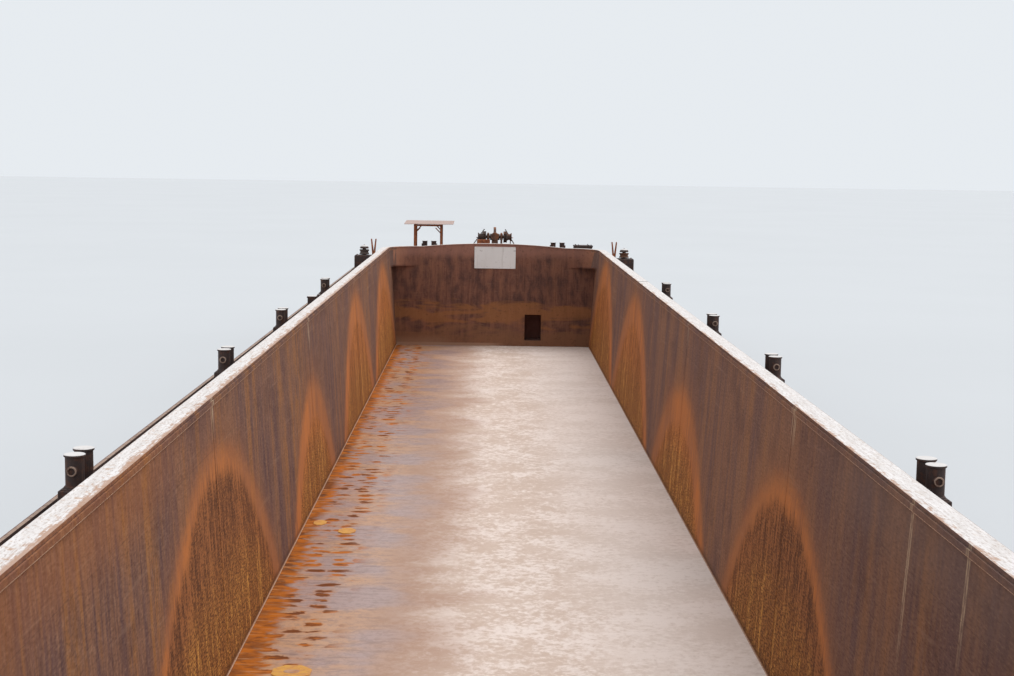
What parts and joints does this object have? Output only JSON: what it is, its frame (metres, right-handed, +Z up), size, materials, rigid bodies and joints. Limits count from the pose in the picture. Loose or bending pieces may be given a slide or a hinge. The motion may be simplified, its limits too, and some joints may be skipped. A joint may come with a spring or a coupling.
{
  "type": "open-hold river cargo barge, 1:10 scale model",
  "caption": "Flat-bottomed open-hold cargo barge, 1:10 scale model, with coaming, bollards, bow windlass, anchors, horn posts, shelter, corner rollers, hatches and folding signal mast.",
  "frame": {"origin": "centre of the outer box on the flat bottom", "axes": "+Y along the length towards the bow, +X to starboard, +Z up"},
  "size_m": [1.6806, 9.5, 0.876],
  "materials": {
    "shell": "rusty red-brown hull paint",
    "hold_floor": "bare rusted plate",
    "hold_wall": "rust-streaked brown paint",
    "bulkhead": "dark maroon-brown, scratched",
    "coaming": "weathered paint, pale on the flange",
    "deck_gear": "dark weathered paint",
    "rusty_frame": "orange rust",
    "windlass_frame": "worn paint over rust",
    "worn_steel": "worn dark steel",
    "roof_sheet": "faded pinkish sheet",
    "board": "faded grey-green, blank",
    "mast_paint": "pale weathered paint"
  },
  "bodies": {
    "hull": {"double_bottom": "hold_floor", "bow_section": "shell", "stern_section": "shell", "bulkhead_fore": "bulkhead", "bulkhead_aft": "bulkhead", "coaming_fore": "coaming", "coaming_aft": "coaming", "wing_tank_port": "hold_wall", "wing_tank_starboard": "hold_wall", "coaming_port": "coaming", "coaming_starboard": "coaming", "rubbing_strake_port": "deck_gear", "rubbing_strake_starboard": "deck_gear", "toe_rail_port": "deck_gear", "toe_rail_starboard": "deck_gear", "anchor_chain_port": "worn_steel", "anchor_chain_starboard": "worn_steel", "anchor_port": "worn_steel", "anchor_starboard": "worn_steel", "skeg_port": "shell", "skeg_starboard": "shell", "bollard_port_1": "deck_gear", "bollard_port_2": "deck_gear", "bollard_port_3": "deck_gear", "bollard_port_4": "deck_gear", "bollard_port_5": "deck_gear", "bollard_starboard_1": "deck_gear", "bollard_starboard_2": "deck_gear", "bollard_starboard_3": "deck_gear", "bollard_starboard_4": "deck_gear", "bollard_starboard_5": "deck_gear", "bollard_bow_port": "deck_gear", "bollard_stern_port": "deck_gear", "bollard_bow_starboard": "deck_gear", "bollard_stern_starboard": "deck_gear", "roller_pedestal_bow_port": "deck_gear", "roller_pedestal_stern_port": "deck_gear", "roller_pedestal_bow_starboard": "deck_gear", "roller_pedestal_stern_starboard": "deck_gear", "horn_post_port": "rusty_frame", "horn_post_starboard": "rusty_frame", "windlass_bed": "windlass_frame", "windlass_motor": "rusty_frame", "shelter_frame": "rusty_frame", "shelter_roof": "roof_sheet", "hatch_trunk_bow": "deck_gear", "hatch_trunk_stern": "deck_gear", "mast_tabernacle": "deck_gear", "number_board": "board", "hold_ladder": "rusty_frame"},
    "windlass_shaft_body": {"windlass_shaft": "worn_steel"},
    "roller_spool_bow_port_body": {"roller_spool_bow_port": "worn_steel"},
    "roller_spool_stern_port_body": {"roller_spool_stern_port": "worn_steel"},
    "roller_spool_bow_starboard_body": {"roller_spool_bow_starboard": "worn_steel"},
    "roller_spool_stern_starboard_body": {"roller_spool_stern_starboard": "worn_steel"},
    "hatch_lid_bow_body": {"hatch_lid_bow": "deck_gear"},
    "hatch_lid_stern_body": {"hatch_lid_stern": "deck_gear"},
    "signal_mast_body": {"signal_mast": "mast_paint"}
  },
  "joints": [
    {"name": "windlass_turn", "type": "hinge", "parent": "hull", "child": "windlass_shaft_body", "pos_m": [0.006, 4.24, 0.709], "axis": [1, 0, 0], "continuous": true},
    {"name": "roller_bow_port_turn", "type": "hinge", "parent": "hull", "child": "roller_spool_bow_port_body", "pos_m": [-0.738, 3.24, 0.663], "axis": [0, 0, 1], "continuous": true},
    {"name": "roller_stern_port_turn", "type": "hinge", "parent": "hull", "child": "roller_spool_stern_port_body", "pos_m": [-0.738, -3.43, 0.663], "axis": [0, 0, 1], "continuous": true},
    {"name": "roller_bow_starboard_turn", "type": "hinge", "parent": "hull", "child": "roller_spool_bow_starboard_body", "pos_m": [0.738, 3.24, 0.663], "axis": [0, 0, 1], "continuous": true},
    {"name": "roller_stern_starboard_turn", "type": "hinge", "parent": "hull", "child": "roller_spool_stern_starboard_body", "pos_m": [0.738, -3.43, 0.663], "axis": [0, 0, 1], "continuous": true},
    {"name": "hatch_bow_lid", "type": "hinge", "parent": "hull", "child": "hatch_lid_bow_body", "pos_m": [0.605, 4, 0.6725], "axis": [0, 1, 0], "range_deg": [0, 110]},
    {"name": "hatch_stern_lid", "type": "hinge", "parent": "hull", "child": "hatch_lid_stern_body", "pos_m": [-0.63, -4.06, 0.6725], "axis": [0, -1, 0], "range_deg": [0, 110]},
    {"name": "mast_fold", "type": "hinge", "parent": "hull", "child": "signal_mast_body", "pos_m": [0, -4.46, 0.624], "axis": [0, -1, 0], "range_deg": [0, 84]}
  ]
}
